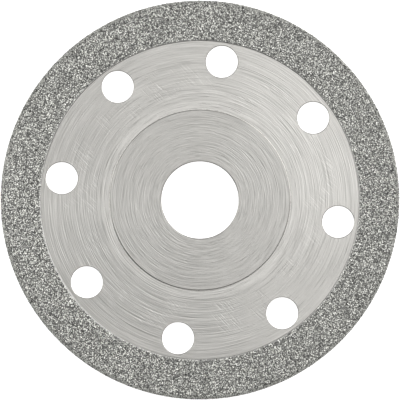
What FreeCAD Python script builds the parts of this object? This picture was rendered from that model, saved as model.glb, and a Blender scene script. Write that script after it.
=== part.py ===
"""Diamond cutting and grinding blade, 115 mm, for an angle grinder, as a parametric document.

The blade is a taper-ground steel core with a ring of cooling holes, a reinforcing flange
brazed to each side of its hub, and a band of diamond grit held in brazed nickel round its rim.
The nickel and the grit lie as even layers over the core's faces, rim and chamfered corners.
Its axis is Z, the front face looks towards +Z, the middle plane of the core is Z = 0, and +X
runs through the centre of a cooling hole. Every size is in millimetres.
"""

import FreeCAD, Part

import math
import os

import Sketcher

# Names for the numbers that a sketch's constraints go by.
START, END, CENTRE = 1, 2, 3
ORIGIN = (-1, 1)
X_AXIS = -1

# Driving dimensions: alias, value, meaning.
SIZES = [
    ("outer_diameter", 115.0, "over the tips of the grit"),
    ("bore_diameter", 22.23, "arbor hole, ground through flanges and core together"),
    ("core_hub_thickness", 2.8, "core where the flanges sit on it"),
    ("core_rim_thickness", 1.8, "core under the abrasive band"),
    ("core_rim_chamfer", 0.4, "both outer corners of the core"),
    ("level_margin", 2.5, "level ring of core left round each flange before the web falls away"),
    ("flange_diameter", 52.0, "reinforcing flange"),
    ("flange_thickness", 0.5, "reinforcing flange"),
    ("flange_edge_chamfer", 0.25, "outer edge of the flange"),
    ("bore_chamfer", 0.3, "mouth of the arbor hole in each flange"),
    ("braze_thickness", 0.1, "silver braze between flange and core"),
    ("braze_setback", 0.4, "gap kept between the braze and the arbor hole"),
    ("braze_fillet", 0.2, "width of the braze that wells out round the flange"),
    ("band_width", 11.7, "radial width of the abrasive band on each face"),
    ("bond_thickness", 0.33, "nickel that holds the grit"),
    ("bond_edge_slope", 0.3, "radial run of the sloped inner edge of the nickel"),
    ("grit_exposure", 0.27, "height of the grit's tips above the nickel"),
    ("hole_diameter", 9.2, "cooling hole"),
    ("hole_count", 8, "cooling holes"),
    ("hole_edge_gap", 0.9, "steel left between a cooling hole and the abrasive band"),
    ("hole_chamfer", 0.2, "both mouths of a cooling hole"),
]

# Lengths that follow from them, each worked out on the sheet: alias, formula, meaning.
LENGTHS = [
    ("bore_radius", "bore_diameter / 2", "arbor hole"),
    ("outer_radius", "outer_diameter / 2", "tips of the rim's grit"),
    ("layers", "bond_thickness + grit_exposure", "nickel and grit together"),
    ("bond_radius", "outer_radius - grit_exposure", "nickel round the rim"),
    ("core_radius", "bond_radius - bond_thickness", "steel of the core"),
    ("corner_radius", "core_radius - core_rim_chamfer", "face of the core, outside"),
    ("bond_corner_radius", "corner_radius + bond_thickness * tan(22.5 deg)", "face of the nickel, outside"),
    ("grit_corner_radius", "corner_radius + layers * tan(22.5 deg)", "face of the grit, outside"),
    ("band_radius", "outer_radius - band_width", "inner edge of the nickel"),
    ("grit_radius", "band_radius + bond_edge_slope", "inner edge of the grit"),
    ("flange_radius", "flange_diameter / 2", "reinforcing flange"),
    ("flange_face_radius", "flange_radius - flange_edge_chamfer", "flat face of the flange, outside"),
    ("flange_mouth_radius", "bore_radius + bore_chamfer", "flat face of the flange, inside"),
    ("braze_inner_radius", "bore_radius + braze_setback", "film of braze"),
    ("braze_outer_radius", "flange_radius + braze_fillet", "foot of the braze fillet"),
    ("level_radius", "flange_radius + level_margin", "where the web begins to fall away"),
    ("hole_radius", "hole_diameter / 2", "cooling hole"),
    ("hole_circle_radius", "band_radius - hole_edge_gap - hole_radius", "centres of the holes"),
    ("hub_level", "core_hub_thickness / 2", "core under the flange"),
    ("braze_top", "hub_level + braze_thickness", "seat of the flange"),
    ("fillet_top", "hub_level + braze_fillet", "braze against the flange's edge"),
    ("flange_top", "braze_top + flange_thickness", "clamping face"),
    ("flange_edge_level", "flange_top - flange_edge_chamfer", "foot of the outer chamfer"),
    ("flange_mouth_level", "flange_top - bore_chamfer", "foot of the bore's chamfer"),
    ("rim_level", "core_rim_thickness / 2", "core under the nickel"),
    ("corner_level", "rim_level - core_rim_chamfer", "edge of the core"),
    ("bond_corner_level", "corner_level + bond_thickness * tan(22.5 deg)", "edge of the nickel"),
    ("grit_corner_level", "corner_level + layers * tan(22.5 deg)", "edge of the grit"),
    ("bond_level", "rim_level + bond_thickness", "nickel on a face"),
    ("grit_level", "bond_level + grit_exposure", "tips of the grit on a face"),
]


def make_sheet(doc):
    """Put every size on the sheet, one row each, with an alias and a note."""
    sheet = doc.addObject("Spreadsheet::Sheet", "Sizes")
    rows = [(alias, str(value), meaning) for alias, value, meaning in SIZES]
    rows += [(alias, f"={formula}", meaning) for alias, formula, meaning in LENGTHS]
    for row, (alias, content, meaning) in enumerate(rows, start=1):
        sheet.set(f"A{row}", alias)
        sheet.set(f"B{row}", content)
        sheet.setAlias(f"B{row}", alias)
        sheet.set(f"C{row}", meaning)
    doc.recompute()


def size(body, alias):
    """Value of a size on the sheet, negative where the alias carries a minus sign."""
    sheet = body.Document.getObject("Sizes")
    value = float(getattr(sheet, alias.lstrip("-")))
    return -value if alias.startswith("-") else value


def linked(alias):
    """Expression that ties a property to a size on the sheet."""
    return f"-Sizes.{alias[1:]}" if alias.startswith("-") else f"Sizes.{alias}"


def origin_part(body, role):
    """The plane or axis of a body's own origin that has this role."""
    return next(part for part in body.Origin.OriginFeatures if part.Role == role)


def new_body(doc, label):
    """An empty body whose Label names the sub-part."""
    body = doc.addObject("PartDesign::Body", label)
    body.Label = label
    return body


def new_sketch(body, name, plane):
    """A sketch on one of the body's own origin planes."""
    sketch = body.newObject("Sketcher::SketchObject", name)
    sketch.AttachmentSupport = [(origin_part(body, plane), "")]
    sketch.MapMode = "FlatFace"
    return sketch


def bind(sketch, name, alias, kind, *places):
    """Add a dimension to the sketch and tie it to a size on the sheet."""
    constraint = Sketcher.Constraint(kind, *places, size(sketch, alias))
    sketch.renameConstraint(sketch.addConstraint(constraint), name)
    sketch.setExpression(f"Constraints.{name}", linked(alias))


def draw_outline(sketch, corners):
    """Draw a closed outline of straight sides and dimension every corner from the origin."""
    places = [FreeCAD.Vector(*(size(sketch, alias) for alias in corner), 0) for corner in corners]
    sides = []
    for number, place in enumerate(places):
        following = places[(number + 1) % len(places)]
        sides.append(sketch.addGeometry(Part.LineSegment(place, following)))
    for number, (radius, height) in enumerate(corners):
        side, before = sides[number], sides[number - 1]
        sketch.addConstraint(Sketcher.Constraint("Coincident", before, END, side, START))
        bind(sketch, f"radius_{number}", radius, "DistanceX", *ORIGIN, side, START)
        bind(sketch, f"height_{number}", height, "DistanceY", *ORIGIN, side, START)


def turn(body, corners):
    """Revolve an outline of (radius, height) corners about the blade's axis."""
    sketch = new_sketch(body, f"{body.Label}_outline", "XZ_Plane")
    draw_outline(sketch, corners)
    revolution = body.newObject("PartDesign::Revolution", f"{body.Label}_turned")
    revolution.Profile = sketch
    revolution.ReferenceAxis = (origin_part(body, "Z_Axis"), [""])
    revolution.Angle = 360
    return sketch


def turn_over(body):
    """Place a piece on the rear side, which is the front piece turned over about X."""
    body.Placement = FreeCAD.Placement(
        FreeCAD.Vector(0, 0, 0), FreeCAD.Rotation(FreeCAD.Vector(1, 0, 0), 180)
    )


def make_core(doc):
    """Steel core: level hub, tapered web, level rim with chamfered corners, cooling holes."""
    body = new_body(doc, "core_plate")
    outline = turn(
        body,
        [
            ("bore_radius", "hub_level"),
            ("level_radius", "hub_level"),
            ("band_radius", "rim_level"),
            ("corner_radius", "rim_level"),
            ("core_radius", "corner_level"),
            ("core_radius", "-corner_level"),
            ("corner_radius", "-rim_level"),
            ("band_radius", "-rim_level"),
            ("level_radius", "-hub_level"),
            ("bore_radius", "-hub_level"),
        ],
    )
    # The outline stands halfway between two holes, so that its seam runs through neither.
    outline.AttachmentOffset = FreeCAD.Placement(
        FreeCAD.Vector(0, 0, 0), FreeCAD.Rotation(FreeCAD.Vector(0, 1, 0), 1)
    )
    outline.setExpression("AttachmentOffset.Rotation.Angle", "180 deg / Sizes.hole_count")

    sketch = new_sketch(body, "cooling_hole", "XY_Plane")
    radius = size(body, "hole_radius")
    centre = FreeCAD.Vector(size(body, "hole_circle_radius"), 0, 0)
    circle = sketch.addGeometry(Part.Circle(centre, FreeCAD.Vector(0, 0, 1), radius))
    sketch.addConstraint(Sketcher.Constraint("PointOnObject", circle, CENTRE, X_AXIS))
    bind(sketch, "hole_circle", "hole_circle_radius", "DistanceX", *ORIGIN, circle, CENTRE)
    bind(sketch, "hole", "hole_radius", "Radius", circle)

    pocket = body.newObject("PartDesign::Pocket", "cooling_hole_cut")
    pocket.Profile = sketch
    pocket.Type = "ThroughAll"
    pocket.Midplane = True
    doc.recompute()
    pattern = body.newObject("PartDesign::PolarPattern", "cooling_hole_ring")
    pattern.Originals = [pocket]
    pattern.Axis = (origin_part(body, "Z_Axis"), [""])
    pattern.Angle = 360
    pattern.setExpression("Occurrences", "Sizes.hole_count")
    body.Tip = pattern
    doc.recompute()

    chamfer = body.newObject("PartDesign::Chamfer", "cooling_hole_chamfer")
    chamfer.Base = (pattern, hole_mouths(pattern.Shape, radius))
    chamfer.setExpression("Size", "Sizes.hole_chamfer")
    body.Tip = chamfer
    return body


def hole_mouths(shape, radius):
    """Names of the edges where holes of this radius meet the two faces of the core."""
    walls = [face for face in shape.Faces if isinstance(face.Surface, Part.Cylinder)]
    walls = [face for face in walls if math.isclose(face.Surface.Radius, radius)]
    rims = [edge for face in walls for edge in face.Edges if not isinstance(edge.Curve, Part.Line)]
    names = []
    for number, edge in enumerate(shape.Edges, start=1):
        if any(edge.isSame(rim) for rim in rims):
            names.append(f"Edge{number}")
    return names


def make_flange(doc, label):
    """Thin steel ring that doubles the hub, its outer edge and its bore chamfered."""
    body = new_body(doc, label)
    turn(
        body,
        [
            ("bore_radius", "braze_top"),
            ("flange_radius", "braze_top"),
            ("flange_radius", "flange_edge_level"),
            ("flange_face_radius", "flange_top"),
            ("flange_mouth_radius", "flange_top"),
            ("bore_radius", "flange_mouth_level"),
        ],
    )
    return body


def make_braze(doc, label):
    """Film of silver braze under a flange, with the fillet that wells out round its foot."""
    body = new_body(doc, label)
    turn(
        body,
        [
            ("braze_inner_radius", "hub_level"),
            ("braze_outer_radius", "hub_level"),
            ("flange_radius", "fillet_top"),
            ("flange_radius", "braze_top"),
            ("braze_inner_radius", "braze_top"),
        ],
    )
    return body


def make_bond(doc):
    """Nickel bond: one layer over both faces of the band and round the rim."""
    body = new_body(doc, "nickel_bond")
    turn(
        body,
        [
            ("band_radius", "rim_level"),
            ("grit_radius", "bond_level"),
            ("bond_corner_radius", "bond_level"),
            ("bond_radius", "bond_corner_level"),
            ("bond_radius", "-bond_corner_level"),
            ("bond_corner_radius", "-bond_level"),
            ("grit_radius", "-bond_level"),
            ("band_radius", "-rim_level"),
            ("corner_radius", "-rim_level"),
            ("core_radius", "-corner_level"),
            ("core_radius", "corner_level"),
            ("corner_radius", "rim_level"),
        ],
    )
    return body


def make_face_grit(doc, label):
    """Envelope of the grit that stands out of the nickel on one face."""
    body = new_body(doc, label)
    turn(
        body,
        [
            ("grit_radius", "bond_level"),
            ("corner_radius", "bond_level"),
            ("corner_radius", "grit_level"),
            ("grit_radius", "grit_level"),
        ],
    )
    return body


def make_rim_grit(doc):
    """Envelope of the grit round the cutting edge and its two corners."""
    body = new_body(doc, "rim_diamond_grit")
    turn(
        body,
        [
            ("corner_radius", "bond_level"),
            ("corner_radius", "grit_level"),
            ("grit_corner_radius", "grit_level"),
            ("outer_radius", "grit_corner_level"),
            ("outer_radius", "-grit_corner_level"),
            ("grit_corner_radius", "-grit_level"),
            ("corner_radius", "-grit_level"),
            ("corner_radius", "-bond_level"),
            ("bond_corner_radius", "-bond_level"),
            ("bond_radius", "-bond_corner_level"),
            ("bond_radius", "bond_corner_level"),
            ("bond_corner_radius", "bond_level"),
        ],
    )
    return body


def check(doc, bodies):
    """Stop if a feature failed or a sub-part isn't one sound solid."""
    for item in doc.Objects:
        if "Invalid" in item.State or "Error" in item.State:
            raise RuntimeError(f"{item.Label} failed: {item.State}")
    for body in bodies:
        shape = body.Shape
        if shape.isNull() or not shape.isValid() or len(shape.Solids) != 1 or shape.Volume <= 0:
            raise RuntimeError(f"{body.Label} is not one valid solid")


def main():
    """Build the blade and write one STEP file for each sub-part."""
    doc = FreeCAD.newDocument("diamond_blade")
    make_sheet(doc)
    bodies = [make_core(doc), make_bond(doc), make_rim_grit(doc)]
    pairs = [(make_flange, "hub_flange"), (make_braze, "flange_braze"), (make_face_grit, "diamond_grit")]
    for make, name in pairs:
        front = make(doc, f"front_{name}")
        rear = make(doc, f"rear_{name}")
        turn_over(rear)
        bodies += [front, rear]
    doc.recompute()
    check(doc, bodies)
    os.makedirs("parts", exist_ok=True)
    for body in bodies:
        body.Shape.exportStep(f"parts/{body.Label}.step")
        box = body.Shape.BoundBox
        print(
            f"{body.Label}: {box.XLength:.2f} x {box.YLength:.2f} x {box.ZLength:.3f} mm, "
            f"z {box.ZMin:.3f} to {box.ZMax:.3f}, {body.Shape.Volume:.2f} mm3"
        )


main()
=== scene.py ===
"""Looks of a 115 mm diamond blade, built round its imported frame.

The steel core, the two hub flanges and their braze are the frame's own meshes, which get their
finishes here. The nickel bond is turned here with the waves and menisci of real brazing, and the
diamond grit is laid into it one crystal at a time. Everything is in metres in the frame's axes:
the blade's axis is Z, its front face looks towards +Z, and it lies on a floor at its rear flange.
"""

import logging
import math
import random
from dataclasses import dataclass
from enum import Enum
from typing import Iterator, Union

import bmesh
import bpy
from mathutils import Euler, Matrix, Vector, noise
from mathutils.kdtree import KDTree


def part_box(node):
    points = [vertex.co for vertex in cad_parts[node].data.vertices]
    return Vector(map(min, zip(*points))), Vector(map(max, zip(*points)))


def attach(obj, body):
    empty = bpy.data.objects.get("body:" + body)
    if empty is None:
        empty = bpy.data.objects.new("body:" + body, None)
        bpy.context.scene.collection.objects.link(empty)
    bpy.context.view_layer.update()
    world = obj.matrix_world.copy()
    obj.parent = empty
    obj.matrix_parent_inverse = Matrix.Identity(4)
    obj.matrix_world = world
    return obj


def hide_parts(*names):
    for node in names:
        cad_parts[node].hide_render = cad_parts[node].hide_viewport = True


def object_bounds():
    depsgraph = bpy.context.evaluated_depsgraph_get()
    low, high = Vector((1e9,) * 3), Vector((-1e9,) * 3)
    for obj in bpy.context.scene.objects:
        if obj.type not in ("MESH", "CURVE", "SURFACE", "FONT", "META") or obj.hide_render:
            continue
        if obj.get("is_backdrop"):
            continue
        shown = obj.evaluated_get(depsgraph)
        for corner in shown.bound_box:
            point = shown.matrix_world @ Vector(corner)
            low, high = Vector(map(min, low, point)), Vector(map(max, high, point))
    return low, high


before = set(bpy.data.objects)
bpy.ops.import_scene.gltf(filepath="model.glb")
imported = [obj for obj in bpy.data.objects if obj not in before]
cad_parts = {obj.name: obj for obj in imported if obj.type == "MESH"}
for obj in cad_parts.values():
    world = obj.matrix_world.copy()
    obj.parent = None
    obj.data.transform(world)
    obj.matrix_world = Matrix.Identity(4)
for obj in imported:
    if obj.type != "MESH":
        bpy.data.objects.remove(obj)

MM = 0.001
TOUCHING = 0.01 * MM
CHAMFER_ANGLE = 45.0
NOISE_MEAN = 0.5
BODY = "root"
Number = Union[int, float]
Operand = Union["Value", int, float]
Owner = Union[bpy.types.Material, bpy.types.World]
Colour = tuple[float, float, float, float]
Corner = tuple[float, float]
Span = tuple[float, float]
WHITE: Colour = (1.0, 1.0, 1.0, 1.0)

log = logging.getLogger("blade")


# --- Shader graphs ---


class Value:
    """A socket's output that arithmetic can be written on; each step adds a Math node."""

    def __init__(self, graph: "Graph", socket: bpy.types.NodeSocket) -> None:
        """Wrap an output socket of the graph."""
        self.graph = graph
        self.socket = socket

    def __add__(self, other: Operand) -> "Value":
        """This plus another."""
        return self.graph.math("ADD", self, other)

    def __radd__(self, other: Number) -> "Value":
        """A number plus this."""
        return self.graph.math("ADD", other, self)

    def __sub__(self, other: Operand) -> "Value":
        """This less another."""
        return self.graph.math("SUBTRACT", self, other)

    def __rsub__(self, other: Number) -> "Value":
        """A number less this."""
        return self.graph.math("SUBTRACT", other, self)

    def __mul__(self, other: Operand) -> "Value":
        """This times another."""
        return self.graph.math("MULTIPLY", self, other)

    def __rmul__(self, other: Number) -> "Value":
        """A number times this."""
        return self.graph.math("MULTIPLY", other, self)

    def __truediv__(self, other: Operand) -> "Value":
        """This over another."""
        return self.graph.math("DIVIDE", self, other)

    def __pow__(self, other: Number) -> "Value":
        """This to a power."""
        return self.graph.math("POWER", self, other)


class Graph:
    """The node tree of one material, or of the room."""

    def __init__(self, owner: Owner) -> None:
        """Empty the owner's tree and start on it.

        Args:
            owner: the material or world to fill.
        """
        self.owner = owner
        owner.use_nodes = True
        self.tree = owner.node_tree
        self.tree.nodes.clear()

    def node(self, kind: str, settings: dict | None = None, **values: object) -> bpy.types.Node:
        """Add one node.

        Args:
            kind: the node's type, without its ShaderNode prefix.
            settings: attributes of the node, which are set first.
            values: number, colour or link of each socket, by name, with _ for a space.

        Returns:
            The node.
        """
        made = self.tree.nodes.new(f"ShaderNode{kind}")
        for name, setting in (settings or {}).items():
            setattr(made, name, setting)
        for key, value in values.items():
            socket = self._socket(made.inputs, key)
            if isinstance(value, Value):
                self.tree.links.new(value.socket, socket)
            else:
                socket.default_value = value
        return made

    @staticmethod
    def _socket(sockets: bpy.types.bpy_prop_collection, key: str) -> bpy.types.NodeSocket:
        """Find a socket.

        Args:
            sockets: a node's inputs or outputs.
            key: the socket's identifier or name, with _ for a space.

        Returns:
            The socket.
        """
        for attribute in ("identifier", "name"):
            for socket in sockets:
                if getattr(socket, attribute).replace(" ", "_") == key:
                    return socket
        raise KeyError(f"no socket named {key}")

    def out(self, node: bpy.types.Node, key: str) -> Value:
        """One output of a node, as a value."""
        return Value(self, self._socket(node.outputs, key))

    def math(self, operation: str, *operands: Operand) -> Value:
        """Add a Math node.

        Args:
            operation: what it works out.
            operands: the numbers and values that it works on.

        Returns:
            Its result.
        """
        names = ("Value", "Value_001", "Value_002")
        made = self.node("Math", {"operation": operation}, **dict(zip(names, operands)))
        return self.out(made, "Value")

    def clamp(self, value: Value, low: float = 0.0, high: float = 1.0) -> Value:
        """The value kept between two numbers."""
        return self.out(self.node("Clamp", None, Value=value, Min=low, Max=high), "Result")

    def between(self, value: Value, low: float, high: float) -> Value:
        """Rise smoothly from 0 to 1.

        Args:
            value: what the rise follows.
            low: where it starts from.
            high: where it ends.

        Returns:
            The rise.
        """
        settings = {"interpolation_type": "SMOOTHSTEP"}
        made = self.node("MapRange", settings, Value=value, From_Min=low, From_Max=high)
        return self.out(made, "Result")

    def blend(self, factor: Value, low: Value | Colour, high: Colour) -> Value:
        """Blend two colours.

        Args:
            factor: share of the second colour, from 0 to 1.
            low: the first colour.
            high: the second colour.

        Returns:
            The blend.
        """
        settings = {"data_type": "RGBA"}
        made = self.node("Mix", settings, Factor_Float=factor, A_Color=low, B_Color=high)
        return self.out(made, "Result_Color")

    def noise(self, vector: Value, detail: float = 2.0, roughness: float = 0.5) -> Value:
        """Add smooth noise of unit scale.

        Args:
            vector: where the noise is read.
            detail: octaves of finer noise.
            roughness: how strong each is against the one before.

        Returns:
            The noise, from 0 to 1.
        """
        settings = {"noise_dimensions": "3D"}
        made = self.node(
            "TexNoise", settings, Vector=vector, Scale=1.0, Detail=detail, Roughness=roughness
        )
        return self.out(made, "Fac")

    def vector(self, x: Operand, y: Operand, z: Operand) -> Value:
        """Vector of three numbers or values."""
        return self.out(self.node("CombineXYZ", None, X=x, Y=y, Z=z), "Vector")

    def position(self, scale: float = 1.0) -> Value:
        """Place on the piece in millimetres, from its Object coordinates.

        Args:
            scale: what each length is multiplied by.

        Returns:
            The place, as a vector.
        """
        place = self.out(self.node("TexCoord"), "Object")
        scaled = self.node("VectorMath", {"operation": "SCALE"}, Vector=place, Scale=scale / MM)
        return self.out(scaled, "Vector")

    def metal(
        self, colour: Value, rough: Value, height: Value, depth: float, **others: float
    ) -> Owner:
        """Finish the material with a bumped metal shader.

        Args:
            colour: its base colour.
            rough: its roughness.
            height: height of its bumps, as a share of their depth.
            depth: that depth, in millimetres.
            others: numbers for its other sockets, by name, with _ for a space.

        Returns:
            The material.
        """
        bump = self.node("Bump", None, Height=height, Distance=depth * MM)
        sockets = {"Metallic": 1.0, "Normal": self.out(bump, "Normal"), **others}
        shader = self.node("BsdfPrincipled", None, Base_Color=colour, Roughness=rough, **sockets)
        return self.finish(shader)

    def finish(self, shader: bpy.types.Node, output: str = "OutputMaterial") -> Owner:
        """Join the last shader to an output node, and hand the owner back."""
        self.tree.links.new(shader.outputs[0], self.node(output).inputs["Surface"])
        return self.owner


@dataclass(frozen=True)
class Place:
    """Where a shading point is on the blade, in millimetres.

    Attributes:
        x, y: its place across the face.
        radius: its distance from the centre.
        across, along: cosine and sine of its angle.
    """

    x: Value
    y: Value
    radius: Value
    across: Value
    along: Value

    @classmethod
    def on(cls, graph: Graph) -> "Place":
        """Polar place of the point that the graph shades."""
        parts = graph.node("SeparateXYZ", None, Vector=graph.position())
        return cls.polar(graph.out(parts, "X"), graph.out(parts, "Y"))

    @classmethod
    def polar(cls, x: Value, y: Value) -> "Place":
        """Polar place of a point that is x and y from a centre."""
        radius = (x * x + y * y) ** 0.5
        return cls(x, y, radius, x / radius, y / radius)

    def about(self, centre: Corner) -> "Place":
        """The same point, measured from another centre."""
        return self.polar(self.x - centre[0], self.y - centre[1])


# --- Finishes ---


@dataclass(frozen=True)
class Lines:
    """Noise drawn out along circles.

    Attributes:
        pitch: distance from one line to the next, in millimetres.
        turns: how often a line breaks; 1 / turns radians is the length of an arc.
        detail: octaves of finer lines.
        seed: offset that makes this layer differ from another.
    """

    pitch: float
    turns: float
    detail: float
    seed: float

    def noise(self, graph: Graph, place: Place, offset: float = 0.0) -> Value:
        """Draw the lines round the centre that a place is measured from.

        Args:
            graph: the graph to add the nodes to.
            place: polar place on the blade.
            offset: what is added to the layer's own seed.

        Returns:
            The noise, from 0 to 1.
        """
        across, along = place.across * self.turns, place.along * self.turns
        depth = place.radius / self.pitch + (self.seed + offset)
        return graph.noise(graph.vector(across, along, depth), self.detail)


@dataclass(frozen=True)
class Hatch:
    """Short straight scratches in patches of one ring, across the turning lines.

    Attributes:
        inner, outer: radii that the ring runs between, in millimetres.
        fade_in, fade_out: widths that it comes up and dies away over.
        lean: direction of the scratches, in degrees.
        width, length: mean size of a scratch.
        streak_rise, patch_rise: noise between which a scratch or a patch comes up.
        streak_seed, patch_seed: their offsets.
        patch: mean size of a patch.
        tone, depth: how much lighter a scratch is, and how deep, as a share of the bump.
    """

    inner: float
    outer: float
    fade_in: float = 2.0
    fade_out: float = 3.0
    lean: float = -36.0
    width: float = 0.34
    length: float = 5.5
    streak_rise: Span = (0.45, 0.75)
    streak_seed: float = 3.0
    patch: float = 8.0
    patch_rise: Span = (0.44, 0.62)
    patch_seed: float = 9.0
    tone: float = 0.187
    depth: float = 0.255

    def mask(self, graph: Graph, place: Place, seed: float) -> Value:
        """Draw the scratches.

        Args:
            graph: the graph to add the nodes to.
            place: polar place on the blade.
            seed: offset that makes one finish differ from another.

        Returns:
            The mask, 1 on a scratch and 0 elsewhere.
        """
        cosine, sine = math.cos(math.radians(self.lean)), math.sin(math.radians(self.lean))
        along = (place.x * cosine + place.y * sine) / self.length
        across = (place.y * cosine - place.x * sine) / self.width
        streaks = graph.noise(graph.vector(across, along, seed + self.streak_seed))
        x, y = place.x / self.patch, place.y / self.patch
        patches = graph.noise(graph.vector(x, y, seed + self.patch_seed), detail=1.0)
        ring = graph.between(place.radius, self.inner, self.inner + self.fade_in)
        ring = ring * (1.0 - graph.between(place.radius, self.outer - self.fade_out, self.outer))
        streaks = graph.between(streaks, *self.streak_rise)
        return streaks * graph.between(patches, *self.patch_rise) * ring


@dataclass(frozen=True)
class PolishedRing:
    """Ring that is rubbed brighter than the rest.

    Attributes:
        inner, outer: radii that it runs between, in millimetres.
        fade_in: radii, from the inner one, between which it comes up.
        fade_out: radii, from the outer one, between which it dies away.
        tone, smoothness: how much lighter and how much less rough it is.
    """

    inner: float
    outer: float
    fade_in: Span = (-0.3, 0.0)
    fade_out: Span = (-0.35, 0.25)
    tone: float = 0.02
    smoothness: float = 0.04

    def mask(self, graph: Graph, place: Place) -> Value:
        """Draw the ring.

        Args:
            graph: the graph to add the nodes to.
            place: polar place on the blade.

        Returns:
            The mask, 1 where the ring is polished and 0 elsewhere.
        """
        rise = [self.inner + fade for fade in self.fade_in]
        fall = [self.outer + fade for fade in self.fade_out]
        ring = graph.between(place.radius, *rise)
        return ring * (1.0 - graph.between(place.radius, *fall))


@dataclass(frozen=True)
class TurnedSteel:
    """Steel faced on a lathe: broken concentric lines, stray arcs and a few cross scratches.

    Attributes:
        name: the material's name.
        dark, light: colours of the darkest and the lightest tone.
        tone: mean tone between the two.
        roughness, roughness_limits: mean roughness, and what it is kept between.
        anisotropy, anisotropy_turn: how far the highlight is drawn out, and which way.
        line_strength: share of the tone that the lines take up.
        bump: depth of the finish, in millimetres.
        seed: offset that makes one finish differ from another.
        fine, middle, broad: the finest turning lines, the common ones and the feed marks.
        cuts, cut_rise: the deep lines, and the noise between which one comes up.
        near_arcs, near_centre: scratches that differ between finishes, and their centre.
        far_arcs, far_centre: scratches that run on from one piece to the next, and theirs.
        arc_rise: noise between which a scratch comes up.
        blotch, blotch_strength: mean size of a blotch, and the blotches' share of the tone.
        polished, hatch: the ring that is rubbed brighter and the cross scratches, if any.
    """

    name: str
    dark: Colour = (0.2, 0.196, 0.186, 1.0)
    light: Colour = (0.85, 0.834, 0.795, 1.0)
    tone: float = 0.43
    roughness: float = 0.34
    roughness_limits: Span = (0.12, 0.8)
    anisotropy: float = 0.55
    anisotropy_turn: float = 0.25
    line_strength: float = 0.38
    bump: float = 0.09
    seed: float = 0.0
    fine: Lines = Lines(0.25, 3.6, 1.0, 1.7)
    middle: Lines = Lines(0.42, 2.4, 2.0, 31.3)
    broad: Lines = Lines(3.0, 2.0, 1.0, 57.9)
    cuts: Lines = Lines(0.36, 4.4, 1.0, 83.1)
    cut_rise: Span = (0.6, 0.72)
    near_arcs: Lines = Lines(0.55, 4.0, 2.0, 11.0)
    near_centre: Corner = (5.0, -3.5)
    far_arcs: Lines = Lines(0.55, 4.0, 2.0, 47.0)
    far_centre: Corner = (-7.0, 4.0)
    arc_rise: Span = (0.66, 0.78)
    blotch: float = 9.0
    blotch_strength: float = 0.1
    polished: PolishedRing | None = None
    hatch: Hatch | None = None

    TONE_SHARES = {"fine": 1.0, "middle": 0.6, "broad": 0.2, "cut": -0.14, "stray": 0.1}
    HEIGHT_SHARES = {"fine": 0.6, "middle": 0.6, "cut": -0.15, "stray": -0.12}
    ROUGHNESS_SHARES = {"middle": 0.12, "blotch": 0.08}

    def layers(self, graph: Graph, place: Place) -> dict[str, Value]:
        """Draw each layer of the finish that covers the whole face.

        Args:
            graph: the graph to add the nodes to.
            place: polar place on the blade.

        Returns:
            The layers by name: noise about 0, and masks from 0 to 1.
        """
        cut = graph.between(self.cuts.noise(graph, place, self.seed), *self.cut_rise)
        near = self.near_arcs.noise(graph, place.about(self.near_centre), self.seed)
        far = self.far_arcs.noise(graph, place.about(self.far_centre))
        arcs = [graph.between(ridge, *self.arc_rise) for ridge in (near, far)]
        x, y = place.x / self.blotch, place.y / self.blotch
        return {
            "fine": self.fine.noise(graph, place, self.seed) - NOISE_MEAN,
            "middle": self.middle.noise(graph, place, self.seed) - NOISE_MEAN,
            "broad": self.broad.noise(graph, place, self.seed) - NOISE_MEAN,
            "blotch": graph.noise(graph.vector(x, y, self.seed), detail=3.0) - NOISE_MEAN,
            "cut": cut,
            "stray": graph.math("MAXIMUM", *arcs),
        }

    @staticmethod
    def mixed(layers: dict[str, Value], shares: dict[str, float]) -> Value:
        """Sum of the named layers, each by its share."""
        return sum(layers[name] * share for name, share in shares.items())

    def build(self) -> bpy.types.Material:
        """Make the material.

        Returns:
            The finished material.
        """
        graph = Graph(bpy.data.materials.new(self.name))
        place = Place.on(graph)
        layers = self.layers(graph, place)
        tone = self.tone + self.mixed(layers, self.TONE_SHARES) * self.line_strength
        tone = tone + layers["blotch"] * self.blotch_strength
        height = self.mixed(layers, self.HEIGHT_SHARES)
        rough = self.roughness + self.mixed(layers, self.ROUGHNESS_SHARES)
        if self.hatch:
            scratches = self.hatch.mask(graph, place, self.seed)
            tone = tone + scratches * self.hatch.tone
            height = height - scratches * self.hatch.depth
        if self.polished:
            ring = self.polished.mask(graph, place)
            tone = tone + ring * self.polished.tone
            rough = rough - ring * self.polished.smoothness
        colour = graph.blend(graph.clamp(tone), self.dark, self.light)
        rough = graph.clamp(rough, *self.roughness_limits)
        grain = {"Anisotropic": self.anisotropy, "Anisotropic_Rotation": self.anisotropy_turn}
        return graph.metal(colour, rough, height, self.bump, **grain)


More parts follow.
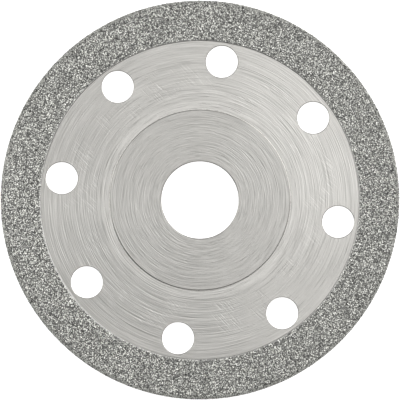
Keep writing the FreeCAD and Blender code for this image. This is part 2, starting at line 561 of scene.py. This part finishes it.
@dataclass(frozen=True)
class SilverBraze:
    """Dull silver braze that has frozen in a thin wet fillet, spotted with oxide.

    Attributes:
        name: the material's name.
        bright, oxide: colours of clean braze and of oxide.
        metallic: share of the surface that is bare metal.
        tone: mean tone between the two colours.
        roughness: mean roughness.
        flow_turns: how often the flow marks come round the ring, per radian.
        flow_seed, spot_seed: offsets of the flow marks and of the oxide spots.
        flow_tone, flow_roughness: shares of each that the flow marks take up.
        spot: mean size of an oxide spot, in millimetres.
        spot_rise: noise between which a spot comes up.
        spot_tone, spot_roughness: how much darker and how much rougher a spot is.
        bump: depth of the flow marks, in millimetres.
    """

    name: str = "silver_braze"
    bright: Colour = (0.84, 0.826, 0.788, 1.0)
    oxide: Colour = (0.38, 0.365, 0.335, 1.0)
    metallic: float = 0.5
    tone: float = 0.95
    roughness: float = 0.56
    flow_turns: float = 60.0
    flow_seed: float = 2.0
    flow_tone: float = 0.8
    flow_roughness: float = 0.2
    spot: float = 0.8
    spot_rise: Span = (0.5, 0.7)
    spot_seed: float = 7.0
    spot_tone: float = 0.45
    spot_roughness: float = 0.2
    bump: float = 0.03

    def build(self) -> bpy.types.Material:
        """Make the material.

        Returns:
            The finished material.
        """
        graph = Graph(bpy.data.materials.new(self.name))
        place = Place.on(graph)
        across, along = place.across * self.flow_turns, place.along * self.flow_turns
        flow_place = graph.vector(across, along, self.flow_seed)
        ripples = graph.noise(flow_place, detail=4.0, roughness=0.6)
        x, y = place.x / self.spot, place.y / self.spot
        spots = graph.between(graph.noise(graph.vector(x, y, self.spot_seed)), *self.spot_rise)
        flow = ripples - NOISE_MEAN
        tone = self.tone - flow * self.flow_tone - spots * self.spot_tone
        rough = self.roughness + spots * self.spot_roughness - flow * self.flow_roughness
        colour = graph.blend(graph.clamp(tone), self.oxide, self.bright)
        rough = graph.clamp(rough)
        return graph.metal(colour, rough, ripples, self.bump, Metallic=self.metallic)


@dataclass(frozen=True)
class NickelBraze:
    """Nickel that has melted round the grit: satin crests, fine frozen grain, painted shade in its
    hollows.

    Attributes:
        edge: radius of the innermost grit, in millimetres, inside which the nickel is bare.
        fade: width that the bare nickel dies away over.
        name: the material's name.
        hollow_shade, crest: painted shade of the hollows, and the colour of the crests.
        bare: colour of the foot that no grit stands on.
        tone: mean tone between the hollows' painted shade and the crest.
        clots, grain: clots and grains in a millimetre.
        clot_tone, grain_tone: their shares of the tone; the clots' share is painted shade.
        grain_height: height of the grain against that of the clots.
        grain_roughness: share of the roughness that the grain takes up.
        bare_least: how bare the darkest of the foot is.
        roughness: mean roughness.
        bump: depth of the finish, in millimetres.
    """

    edge: float
    fade: float = 0.2
    name: str = "nickel_bond"
    # Near-black painted shade for the nickel's hollows between the crystals.
    hollow_shade: Colour = (0.02, 0.02, 0.0192, 1.0)
    crest: Colour = (0.34, 0.34, 0.325, 1.0)
    bare: Colour = (0.56, 0.555, 0.54, 1.0)
    tone: float = 0.5
    clots: float = 2.6
    clot_tone: float = 2.2
    grain: float = 14.0
    grain_tone: float = 0.5
    grain_height: float = 0.3
    grain_roughness: float = 0.3
    bare_least: float = 0.6
    roughness: float = 0.42
    bump: float = 0.1

    def build(self) -> bpy.types.Material:
        """Make the material.

        Returns:
            The finished material.
        """
        graph = Graph(bpy.data.materials.new(self.name))
        clots = graph.noise(graph.position(self.clots), detail=3.0, roughness=0.6)
        grain = graph.noise(graph.position(self.grain))
        foot = 1.0 - graph.between(Place.on(graph).radius, self.edge, self.edge + self.fade)
        # The clots raise the bump and set the tone alike, so the low hollows are painted dark:
        # painted shade. The grain is the nickel's own speckle.
        shade_and_grain = (clots - NOISE_MEAN) * self.clot_tone + (grain - NOISE_MEAN) * self.grain_tone
        tone = graph.clamp(self.tone + shade_and_grain)
        colour = graph.blend(tone, self.hollow_shade, self.crest)
        foot = foot * graph.clamp(self.bare_least + tone)
        rough = self.roughness + (grain - NOISE_MEAN) * self.grain_roughness
        height = clots + grain * self.grain_height
        colour = graph.blend(foot, colour, self.bare)
        return graph.metal(colour, graph.clamp(rough), height, self.bump)


@dataclass(frozen=True)
class WettedDiamond:
    """Diamond crystals filmed over with nickel, each with a tone of its own.

    Attributes:
        name: the material's name.
        dark, light: colours of the darkest and the lightest crystal.
        own_rise: chance numbers between which a crystal goes from dark to light.
        films: patches of film in a millimetre.
        film_tone, film_roughness: shares of each that the film takes up.
        roughness: mean roughness.
        bump: thickness of the film, in millimetres.
    """

    name: str = "diamond_grit"
    dark: Colour = (0.01, 0.01, 0.0095, 1.0)
    light: Colour = (0.96, 0.96, 0.917, 1.0)
    own_rise: Span = (-0.1, 0.55)
    films: float = 9.0
    film_tone: float = 0.3
    film_roughness: float = 0.3
    roughness: float = 0.6
    bump: float = 0.03

    ATTRIBUTE = "crystal_tone"

    def build(self) -> bpy.types.Material:
        """Make the material.

        Returns:
            The finished material.
        """
        graph = Graph(bpy.data.materials.new(self.name))
        own = graph.out(graph.node("Attribute", {"attribute_name": self.ATTRIBUTE}), "Fac")
        patches = graph.noise(graph.position(self.films), roughness=0.6)
        film = patches - NOISE_MEAN
        tone = graph.between(own, *self.own_rise) + film * self.film_tone
        rough = self.roughness + film * self.film_roughness
        colour = graph.blend(graph.clamp(tone), self.dark, self.light)
        return graph.metal(colour, graph.clamp(rough), patches, self.bump)


# --- Sizes ---


@dataclass(frozen=True)
class Band:
    """Section of the abrasive band, read from the frame, in metres.

    Every radius is from the blade's axis and every level from its middle plane.
    """

    foot_radius: float
    grit_radius: float
    face_radius: float
    core_radius: float
    bond_radius: float
    outer_radius: float
    core_level: float
    bond_level: float
    grit_level: float

    @classmethod
    def from_frame(cls) -> "Band":
        """Read the section from the nodes that make up the band.

        Returns:
            The section.
        """
        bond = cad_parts["nickel_bond"].data.vertices
        foot_radius = min(vertex.co.xy.length for vertex in bond)
        foot = [vertex.co.z for vertex in bond if vertex.co.xy.length < foot_radius + TOUCHING]
        front_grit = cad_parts["front_diamond_grit"].data.vertices
        grit = [vertex.co.xy.length for vertex in front_grit]
        return cls(
            foot_radius=foot_radius,
            grit_radius=min(grit),
            face_radius=max(grit),
            core_radius=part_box("core_plate")[1].x,
            bond_radius=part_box("nickel_bond")[1].x,
            outer_radius=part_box("rim_diamond_grit")[1].x,
            core_level=max(foot),
            bond_level=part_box("nickel_bond")[1].z,
            grit_level=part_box("rim_diamond_grit")[1].z,
        )

    @property
    def edge_level(self) -> float:
        """Half the width of the core's rim, between its two chamfers."""
        fall = math.tan(math.radians(CHAMFER_ANGLE))
        return self.core_level - (self.core_radius - self.face_radius) * fall

    @property
    def mitre(self) -> float:
        """How far the nickel's corners stand along from those of the core's chamfer."""
        return (self.bond_radius - self.core_radius) * math.tan(math.radians(CHAMFER_ANGLE / 2))

    @property
    def exposure(self) -> float:
        """How far the grit may stand out of the nickel."""
        return self.grit_level - self.bond_level

    def nickel_outline(self) -> list[Corner]:
        """Follow the outside of the nickel.

        Returns:
            Its corners from its front foot, round the rim, to its rear foot.
        """
        front = [
            (self.foot_radius, self.core_level),
            (self.grit_radius, self.bond_level),
            (self.face_radius + self.mitre, self.bond_level),
            (self.bond_radius, self.edge_level + self.mitre),
        ]
        return front + [(radius, -level) for radius, level in reversed(front)]

    def core_outline(self) -> list[Corner]:
        """Steel that the nickel lies on, from its rear foot back to its front foot."""
        front = [(self.face_radius, self.core_level), (self.core_radius, self.edge_level)]
        return [(radius, -level) for radius, level in front] + front[::-1]


def walk(outline: list[Corner], pitch: float) -> Iterator[tuple[Vector, Vector]]:
    """Step along an outline of (radius, level) corners.

    Args:
        outline: the corners, in order.
        pitch: the longest step.

    Yields:
        Each place, and the outward direction there, in the plane of radius and level.
    """
    for start, end in zip(outline, outline[1:]):
        side = Vector(end) - Vector(start)
        steps = max(1, math.ceil(side.length / pitch))
        outward = Vector((-side.y, side.x)).normalized()
        for step in range(steps):
            yield Vector(start) + side * (step / steps), outward


# --- Pieces ---


def take_mesh(name: str, work: bmesh.types.BMesh) -> bpy.types.Mesh:
    """Turn a finished bmesh into a mesh, and free it.

    Args:
        name: the mesh's name.
        work: the bmesh.

    Returns:
        The mesh.
    """
    mesh = bpy.data.meshes.new(name)
    work.to_mesh(mesh)
    work.free()
    return mesh


def add_piece(
    name: str, mesh: bpy.types.Mesh, material: bpy.types.Material, slot: str, *nodes: str
) -> bpy.types.Object:
    """Put a finished mesh in the scene in place of the CAD nodes that it stands for.

    Args:
        name: the piece's name.
        mesh: its mesh, already in place.
        material: its finish.
        slot: the record's material slot; not used.
        nodes: the CAD nodes that it replaces.

    Returns:
        The new object.
    """
    piece = bpy.data.objects.new(name, mesh)
    bpy.context.scene.collection.objects.link(piece)
    mesh.materials.append(material)
    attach(piece, BODY)
    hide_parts(*nodes)
    log.info("%s: %d faces", name, len(mesh.polygons))
    return piece


class CrystalHabit(Enum):
    """Rough shape that a crystal starts from."""

    BLOCK = "block"
    OCTAHEDRON = "octahedron"
    TABLET = "tablet"
    WEDGE = "wedge"


@dataclass
class CrystalShapes:
    """A tray of broken crystals, all of about unit width, to pick from.

    Attributes:
        variants: how many crystals of each habit.
        chip: how far a corner may be chipped or grown.
        block: side of a block.
        octahedron: radius of an octahedron.
        PRISMS: lower radius, upper radius and height of each three-sided habit.
        seed: seed of everything that chance decides.
    """

    variants: int = 6
    chip: float = 0.16
    block: float = 0.82
    octahedron: float = 0.62
    seed: int = 7

    PRISMS = {CrystalHabit.TABLET: (0.62, 0.44, 0.66), CrystalHabit.WEDGE: (0.7, 0.3, 0.78)}

    def make(self, habit: CrystalHabit, dice: random.Random) -> bpy.types.Mesh:
        """Make one crystal.

        Args:
            habit: the shape to start from.
            dice: source of its chance features.

        Returns:
            The crystal's mesh, about its own centre.
        """
        work = bmesh.new()
        if habit is CrystalHabit.BLOCK:
            bmesh.ops.create_cube(work, size=self.block)
        elif habit is CrystalHabit.OCTAHEDRON:
            bmesh.ops.create_uvsphere(work, u_segments=4, v_segments=2, radius=self.octahedron)
        else:
            lower, upper, height = self.PRISMS[habit]
            bmesh.ops.create_cone(
                work, cap_ends=True, segments=3, radius1=lower, radius2=upper, depth=height
            )
        for corner in work.verts:
            corner.co += Vector([dice.uniform(-self.chip, self.chip) for _ in range(3)])
        bmesh.ops.recalc_face_normals(work, faces=work.faces)
        return take_mesh(f"crystal_{habit.value}", work)

    def tray(self) -> list[bpy.types.Mesh]:
        """Make the whole tray."""
        dice = random.Random(self.seed)
        return [self.make(habit, dice) for _ in range(self.variants) for habit in CrystalHabit]


@dataclass
class GritLayer:
    """One layer of diamond grit along part of the band's outline.

    Attributes:
        name: the piece's name.
        node: the CAD node that it replaces.
        outline: the (radius, level) corners of the nickel that it lies on.
        exposure: how far the tallest tips stand out of the nickel.
        material: the crystals' finish.
        pitch: mean distance from one crystal to the next.
        smallest, largest: widths of the smallest and the largest crystal.
        lowest: how far the lowest tips stand out, as a share of the tallest.
        tilt: how far a crystal may lean from standing flat face outwards, in radians.
        scatter: how far round a seat may be moved, as a share of the step.
        seed: seed of everything that chance decides.
    """

    name: str
    node: str
    outline: list[Corner]
    exposure: float
    material: bpy.types.Material
    pitch: float = 0.4 * MM
    smallest: float = 0.28 * MM
    largest: float = 0.46 * MM
    lowest: float = 0.5
    tilt: float = math.pi
    scatter: float = 0.9
    seed: int = 1

    def seats(self, dice: random.Random) -> Iterator[tuple[Vector, Vector]]:
        """Scatter the crystals' seats evenly but out of line.

        Args:
            dice: source of the scatter.

        Yields:
            Each seat on the nickel, and the way out of the surface there.
        """
        for place, outward in walk(self.outline, self.pitch):
            count = round(math.tau * place.x / self.pitch)
            side = Vector((outward.y, -outward.x))
            for number in range(count):
                shift = place + side * dice.uniform(0.0, self.pitch)
                angle = math.tau * (number + dice.uniform(0.0, self.scatter)) / count
                turned = Vector((math.cos(angle), math.sin(angle), 0.0))
                seat = turned * shift.x + Vector((0.0, 0.0, shift.y))
                yield seat, turned * outward.x + Vector((0.0, 0.0, outward.y))

    def build(self, tray: list[bpy.types.Mesh]) -> list[Vector]:
        """Lay the crystals and dress them.

        Args:
            tray: crystals of unit width to pick from.

        Returns:
            The crystals' seats.
        """
        dice = random.Random(self.seed)
        tones, seats = [], []
        work = bmesh.new()
        for seat, outward in self.seats(dice):
            crystal = dice.choice(tray)
            lean = [dice.uniform(-self.tilt, self.tilt) for _ in range(2)]
            turn = Euler((*lean, dice.uniform(0.0, math.tau))).to_matrix()
            turn = outward.to_track_quat("Z", "Y").to_matrix() @ turn
            turn *= dice.uniform(self.smallest, self.largest)
            reach = max(outward.dot(turn @ corner.co) for corner in crystal.vertices)
            tip = self.exposure * dice.uniform(self.lowest, 1.0)
            place = Matrix.Translation(seat + outward * (tip - reach)) @ turn.to_4x4()
            crystal.transform(place)
            work.from_mesh(crystal)
            crystal.transform(place.inverted())
            tones += [dice.random()] * len(crystal.polygons)
            seats.append(seat)
        mesh = take_mesh(self.name, work)
        tone = mesh.attributes.new(WettedDiamond.ATTRIBUTE, "FLOAT", "FACE")
        tone.data.foreach_set("value", tones)
        add_piece(self.name, mesh, self.material, "diamond_grit", self.node)
        return seats


@dataclass
class NickelBond:
    """The nickel that holds the grit, as one layer over both faces and the rim.

    Attributes:
        band: the section to follow.
        pitch: size of its mesh, which has to show the waves.
        wave: height of its long waves.
        wave_length: length of the longest of them.
        octaves: how many lengths there are, each half the one before.
        climb: how far the nickel climbs at a crystal.
        reach: how far from a crystal it climbs.
        sectors: how many equal parts the ring is turned in.
        weld: how close two corners have to be to be joined into one.
    """

    band: Band
    pitch: float = 0.36 * MM
    wave: float = 0.05 * MM
    wave_length: float = 1.1 * MM
    octaves: int = 3
    climb: float = 0.09 * MM
    reach: float = 0.26 * MM
    sectors: int = 20
    weld: float = 0.001 * MM

    def build(self, seats: list[Vector], material: bpy.types.Material) -> None:
        """Turn the layer, raise its waves and menisci, and dress it.

        Args:
            seats: where the crystals are, for the menisci.
            material: the nickel's finish.
        """
        work = self.turn_layer()
        self.raise_waves(work, seats)
        for face in work.faces:
            face.smooth = True
        mesh = take_mesh("nickel_bond_layer", work)
        add_piece("nickel_bond_layer", mesh, material, "nickel_bond", "nickel_bond")

    def turn_layer(self) -> bmesh.types.BMesh:
        """Spin the layer's section through one sector and join sectors into the whole ring.

        Returns:
            The smooth layer.
        """
        outside = [place for place, _ in walk(self.band.nickel_outline(), self.pitch)]
        outside.append(Vector(self.band.nickel_outline()[-1]))
        section = outside + [Vector(corner) for corner in self.band.core_outline()]
        sector_angle = math.tau / self.sectors
        sector = bmesh.new()
        corners = [sector.verts.new((place.x, 0.0, place.y)) for place in section]
        edges = [sector.edges.new(pair) for pair in zip(corners, corners[1:] + corners[:1])]
        bmesh.ops.spin(
            sector,
            geom=corners + edges,
            cent=(0.0, 0.0, 0.0),
            axis=(0.0, 0.0, 1.0),
            angle=sector_angle,
            steps=math.ceil(sector_angle * self.band.bond_radius / self.pitch),
        )
        mesh = take_mesh("sector", sector)
        work = bmesh.new()
        for _ in range(self.sectors):
            mesh.transform(Matrix.Rotation(sector_angle, 4, "Z"))
            work.from_mesh(mesh)
        bpy.data.meshes.remove(mesh)
        bmesh.ops.remove_doubles(work, verts=work.verts, dist=self.weld)
        bmesh.ops.recalc_face_normals(work, faces=work.faces)
        return work

    def raise_waves(self, work: bmesh.types.BMesh, seats: list[Vector]) -> None:
        """Lift the outside of the turned layer into waves and menisci.

        Args:
            work: the turned layer.
            seats: where the crystals are.
        """
        tree = KDTree(len(seats))
        for number, seat in enumerate(seats):
            tree.insert(seat, number)
        tree.balance()
        band = self.band
        work.normal_update()
        moves = []
        for corner in work.verts:
            radius, level = corner.co.xy.length, abs(corner.co.z)
            on_face = level > (band.core_level + band.bond_level) / 2
            on_rim = radius > (band.core_radius + band.bond_radius) / 2
            if not (on_face or on_rim):
                continue
            waves = noise.fractal(corner.co / self.wave_length, 1.0, 2.0, self.octaves) * self.wave
            distance = tree.find(corner.co)[2]
            climb = self.climb * math.exp(-((distance / self.reach) ** 2)) - self.climb / 2
            moves.append((corner, corner.normal * (waves + climb)))
        for corner, move in moves:
            corner.co += move


@dataclass
class Blade:
    """The whole blade: the frame's own steel, dressed, and the band, modelled.

    Lengths are in millimetres.

    Attributes:
        band: section of the abrasive band.
        polish_width: width of the ring round the hub that is rubbed bright.
        hatch_from: distance from the hub to the start of the cross scratches.
        hatch_to: distance from their end to the band.
    """

    band: Band
    polish_width: float = 2.3
    hatch_from: float = 3.0
    hatch_to: float = 5.0

    def dress(self, node: str, material: bpy.types.Material) -> None:
        """Give a CAD node its finish.

        Args:
            node: the node's name.
            material: the finish.
        """
        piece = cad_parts[node]
        for slot in piece.material_slots:
            slot.material = material
        log.info("%s: dressed in %s", node, material.name)

    def dress_steel(self) -> None:
        """Finish the core, the flanges and the braze between them."""
        flange_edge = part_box("front_hub_flange")[1].x / MM
        braze_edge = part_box("front_flange_braze")[1].x / MM
        band_foot = self.band.foot_radius / MM
        core = TurnedSteel(
            "turned_core_steel",
            polished=PolishedRing(braze_edge, braze_edge + self.polish_width),
            hatch=Hatch(flange_edge + self.hatch_from, band_foot - self.hatch_to),
        )
        flange = TurnedSteel(
            "turned_flange_steel", tone=0.365, line_strength=0.35, bump=0.08, seed=140.0
        )
        self.dress("core_plate", core.build())
        flange_steel, braze = flange.build(), SilverBraze().build()
        for side in ("front", "rear"):
            self.dress(f"{side}_hub_flange", flange_steel)
            self.dress(f"{side}_flange_braze", braze)

    def build_band(self) -> None:
        """Lay the grit on the front, the rim and the rear, and run the nickel round it."""
        band = self.band
        front = [(band.grit_radius, band.bond_level), (band.face_radius, band.bond_level)]
        rear = [(radius, -level) for radius, level in reversed(front)]
        outline = band.nickel_outline()
        rim = [front[-1], *outline[2:-2], rear[0]]
        tray = CrystalShapes().tray()
        diamond = WettedDiamond().build()
        # Painted shade: the rim's crystals get a darker lightest colour than the crystals on the
        # faces.
        rim_diamond = WettedDiamond("rim_diamond_grit", light=(0.7, 0.7, 0.668, 1.0)).build()
        seats = []
        layers = (
            GritLayer(
                "front_grit_crystals", "front_diamond_grit", front, band.exposure, diamond, seed=11
            ),
            GritLayer(
                "rim_grit_crystals",
                "rim_diamond_grit",
                rim,
                band.exposure,
                rim_diamond,
                pitch=0.27 * MM,
                smallest=0.24 * MM,
                largest=0.36 * MM,
                lowest=0.95,
                tilt=0.15,
                seed=12,
            ),
            GritLayer(
                "rear_grit_crystals", "rear_diamond_grit", rear, band.exposure, diamond, seed=13
            ),
        )
        for layer in layers:
            seats += layer.build(tray)
        for crystal in tray:
            bpy.data.meshes.remove(crystal)
        NickelBond(band).build(seats, NickelBraze(band.grit_radius / MM).build())


# --- Studio ---


@dataclass(frozen=True)
class Softbox:
    """A square light panel that faces the blade, with lengths in metres.

    Attributes:
        name: the light's name.
        bearing: direction from the blade in the picture, in degrees anticlockwise from right.
        height: angle above the floor, in degrees.
        distance: from the blade's centre.
        side: width of the panel.
        power: in watts.
    """

    name: str
    bearing: float
    height: float
    distance: float
    side: float
    power: float

    def build(self, roll: float) -> None:
        """Hang the panel.

        Args:
            roll: angle of the picture's right from the blade's +X, in radians.
        """
        light = bpy.data.lights.new(self.name, "AREA")
        light.energy = self.power
        light.shape = "SQUARE"
        light.size = self.side
        panel = bpy.data.objects.new(self.name, light)
        bearing, height = math.radians(self.bearing) + roll, math.radians(self.height)
        aside = math.cos(height)
        away = Vector((math.cos(bearing) * aside, math.sin(bearing) * aside, math.sin(height)))
        panel.location = away * self.distance
        panel.rotation_euler = away.to_track_quat("Z", "Y").to_euler()
        panel.visible_camera = False
        bpy.context.scene.collection.objects.link(panel)
        log.info("%s hung", self.name)


@dataclass
class Studio:
    """Floor, lights and camera.

    Attributes:
        roll: how far the picture is turned against the blade's +X, in degrees.
        lens, sensor: focal length and width of the sensor, in millimetres.
        clip: distances that the camera sees between.
        fill: share of the picture's width that the blade takes up.
        softboxes: the light panels.
        floor_side: width of the floor.
        floor_gap: gap between the floor and the face that lies on it.
        floor_colour, floor_roughness: look of the floor's paper.
        floor_glow: how brightly it is lit through.
        room_light: brightness of the room overhead.
        wall_light: how much brighter its walls are.
        wall_span: sines of the height between which the walls give way to the ceiling.
        skirting_light: brightness of the room at the height of the floor, on its dark side.
        skirting_rise: how much brighter that is on the side across from it.
        skirting_span: sines of the height between which it gives way to the walls.
        skirting_turn: cosines of the way to the dark side between which it dims.
        dark_light: brightness of the room's dark side.
        dark_bearing: direction of the dark side in the picture, in degrees.
        dark_turn: cosines of the way to it between which the room goes dark.
    """

    roll: float = 9.0
    lens: float = 400.0
    sensor: float = 36.0
    clip: Span = (0.01, 10.0)
    fill: float = 399.5 / 400.0
    softboxes: tuple[Softbox, ...] = (
        Softbox("key_softbox", bearing=30.0, height=32.0, distance=1.2, side=1.3, power=7.5),
        Softbox("top_softbox", bearing=34.0, height=71.0, distance=0.8, side=0.75, power=2.3),
        Softbox("left_softbox", bearing=165.0, height=22.0, distance=0.5, side=0.5, power=0.65),
        Softbox("left_card", bearing=182.0, height=28.0, distance=0.15, side=0.07, power=0.03),
    )
    floor_side: float = 6.0
    floor_gap: float = 0.01 * MM
    floor_colour: Colour = (0.82, 0.82, 0.82, 1.0)
    floor_roughness: float = 0.9
    floor_glow: float = 0.8
    room_light: float = 0.33
    wall_light: float = 0.3
    wall_span: Span = (0.2, 0.75)
    skirting_light: float = 0.15
    skirting_rise: float = 0.5
    skirting_span: Span = (0.08, 0.36)
    skirting_turn: Span = (-0.7, 0.2)
    dark_light: float = 0.05
    dark_bearing: float = -136.0
    dark_turn: Span = (0.55, 1.0)

    def build_camera(self, width: float, top: float) -> None:
        """Set the camera straight above the blade.

        Args:
            width: diameter of the blade.
            top: level that the picture's scale holds at.
        """
        data = bpy.data.cameras.new("camera")
        data.lens = self.lens
        data.sensor_width = self.sensor
        data.clip_start, data.clip_end = self.clip
        camera = bpy.data.objects.new("camera", data)
        distance = width / self.fill * self.lens / self.sensor
        camera.location = (0.0, 0.0, top + distance)
        camera.rotation_euler = (0.0, 0.0, math.radians(self.roll))
        bpy.context.scene.collection.objects.link(camera)
        bpy.context.scene.camera = camera

    def build_floor(self, level: float) -> None:
        """Lay a white floor.

        Args:
            level: height of the floor.
        """
        work = bmesh.new()
        bmesh.ops.create_grid(work, x_segments=1, y_segments=1, size=self.floor_side / 2)
        bmesh.ops.translate(work, vec=(0.0, 0.0, level - self.floor_gap), verts=work.verts)
        mesh = take_mesh("floor", work)
        floor = bpy.data.objects.new("floor", mesh)
        bpy.context.scene.collection.objects.link(floor)
        mesh.materials.append(self.floor_paper())
        floor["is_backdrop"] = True

    def floor_paper(self) -> bpy.types.Material:
        """White paper, lit through so that it stays white round the blade.

        Returns:
            The floor's material, which is clear from below.
        """
        graph = Graph(bpy.data.materials.new("floor_paper"))
        paper = graph.node(
            "BsdfPrincipled",
            None,
            Base_Color=self.floor_colour,
            Roughness=self.floor_roughness,
            Emission_Color=WHITE,
            Emission_Strength=self.floor_glow,
        )
        clear = graph.node("BsdfTransparent")
        below = graph.out(graph.node("NewGeometry"), "Backfacing")
        mixed = graph.node("MixShader", None, Fac=below)
        graph.tree.links.new(paper.outputs[0], mixed.inputs[1])
        graph.tree.links.new(clear.outputs[0], mixed.inputs[2])
        return graph.finish(mixed)

    def build_lights(self) -> None:
        """Hang the softboxes round the blade."""
        for softbox in self.softboxes:
            softbox.build(math.radians(self.roll))

    def build_room(self) -> None:
        """Light the room round its walls, less overhead and low down, with one side left dark."""
        graph = Graph(bpy.data.worlds.new("room"))
        way = graph.out(graph.node("TexCoord"), "Generated")
        height = graph.out(graph.node("SeparateXYZ", None, Vector=way), "Z")
        bearing = math.radians(self.dark_bearing + self.roll)
        dark_way = (math.cos(bearing), math.sin(bearing), 0.0)
        settings = {"operation": "DOT_PRODUCT"}
        dot = graph.node("VectorMath", settings, Vector=way, Vector_001=dark_way)
        toward = graph.out(dot, "Value")
        dark = graph.between(toward, *self.dark_turn)
        walls = 1.0 - graph.between(height, *self.wall_span)
        clear = graph.between(graph.math("ABSOLUTE", height), *self.skirting_span)
        skirting = 1.0 - graph.between(toward, *self.skirting_turn)
        skirting = self.skirting_light + skirting * self.skirting_rise
        level = skirting + clear * (self.room_light + walls * self.wall_light - skirting)
        level = level - dark * (level - self.dark_light)
        room = graph.node("Background", None, Color=WHITE, Strength=level)
        bpy.context.scene.world = graph.finish(room, "OutputWorld")

    def build(self, width: float, top: float, floor_level: float) -> None:
        """Set up the whole studio.

        Args:
            width: diameter of the blade.
            top: level that the picture's scale holds at.
            floor_level: height of the floor.
        """
        self.build_camera(width, top)
        self.build_floor(floor_level)
        self.build_lights()
        self.build_room()
        bpy.context.scene.view_settings.view_transform = "Standard"
        log.info("studio ready")


def main() -> None:
    """Build the blade and its studio in order."""
    logging.basicConfig(level=logging.INFO, format="%(name)s: %(message)s")
    cad_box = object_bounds()
    band = Band.from_frame()
    Studio().build(2 * band.outer_radius, band.grit_level, cad_box[0].z)
    blade = Blade(band)
    blade.dress_steel()
    blade.build_band()


if __name__ == "__main__":
    main()
